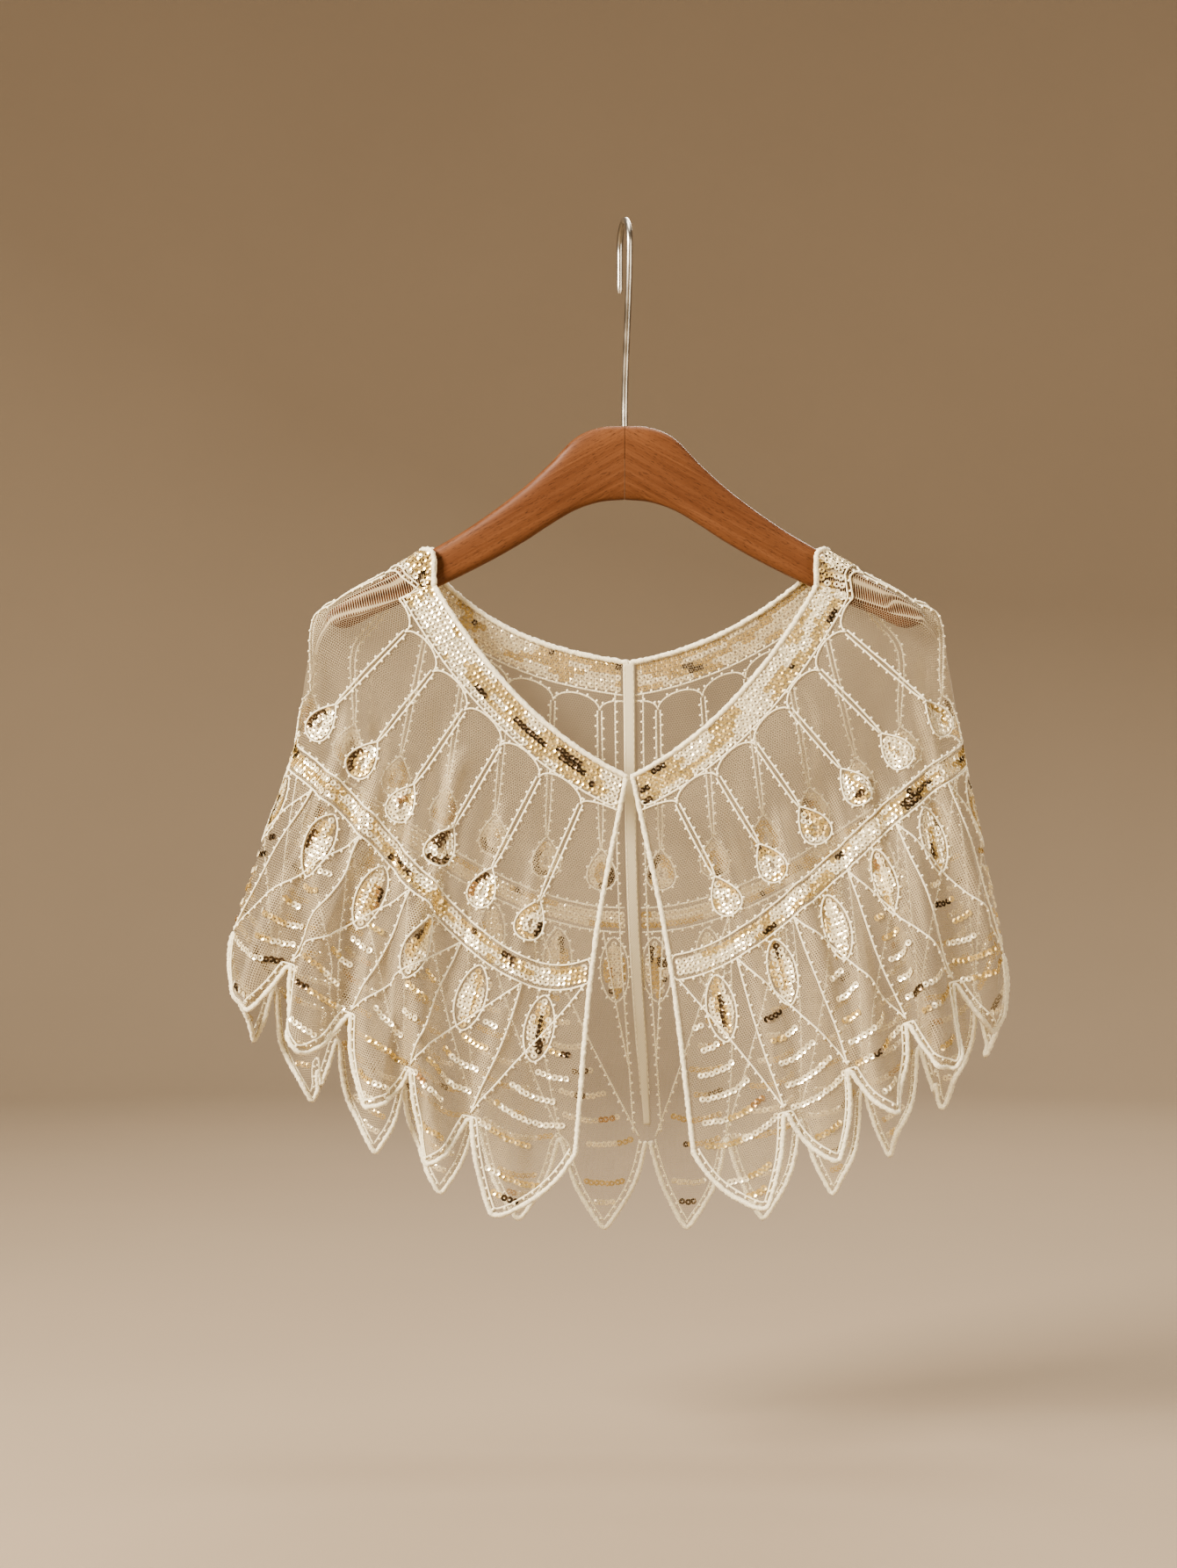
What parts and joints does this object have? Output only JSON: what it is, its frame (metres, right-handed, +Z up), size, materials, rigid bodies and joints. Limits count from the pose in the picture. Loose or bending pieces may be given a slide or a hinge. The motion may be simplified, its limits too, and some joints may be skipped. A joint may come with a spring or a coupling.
{
  "type": "evening cape stole on a wooden hanger",
  "caption": "Short evening cape of embroidered and sequined net with a petal hem, hanging on a wooden coat hanger with a long wire hook.",
  "frame": {"origin": "underside of the crown of the hook, where a rail carries the hanger", "axes": "+Z up, +X to the right as the open front of the cape is looked at, +Y from its front to its back"},
  "size_m": [0.5011, 0.1295, 0.6557],
  "materials": {
    "ivory_net": "fine six-sided net, matt, seen through",
    "gold_sequins": "close rows of small cupped pale gold sequins, shiny",
    "cream_cord": "satin stitched cord and thread with a soft sheen",
    "stained_wood": "red-brown stained beech, satin lacquer",
    "steel_wire": "drawn wire, satin, a little dulled"
  },
  "bodies": {
    "root": {"net_left": "ivory_net", "net_right": "ivory_net", "neckband_left": "gold_sequins", "neckband_right": "gold_sequins", "middle_band_left": "gold_sequins", "middle_band_right": "gold_sequins", "corded_edge_left": "cream_cord", "corded_edge_right": "cream_cord", "back_seam_tape": "cream_cord", "hanger_arm_left": "stained_wood", "hanger_arm_right": "stained_wood", "hanger_hook": "steel_wire"}
  },
  "joints": []
}
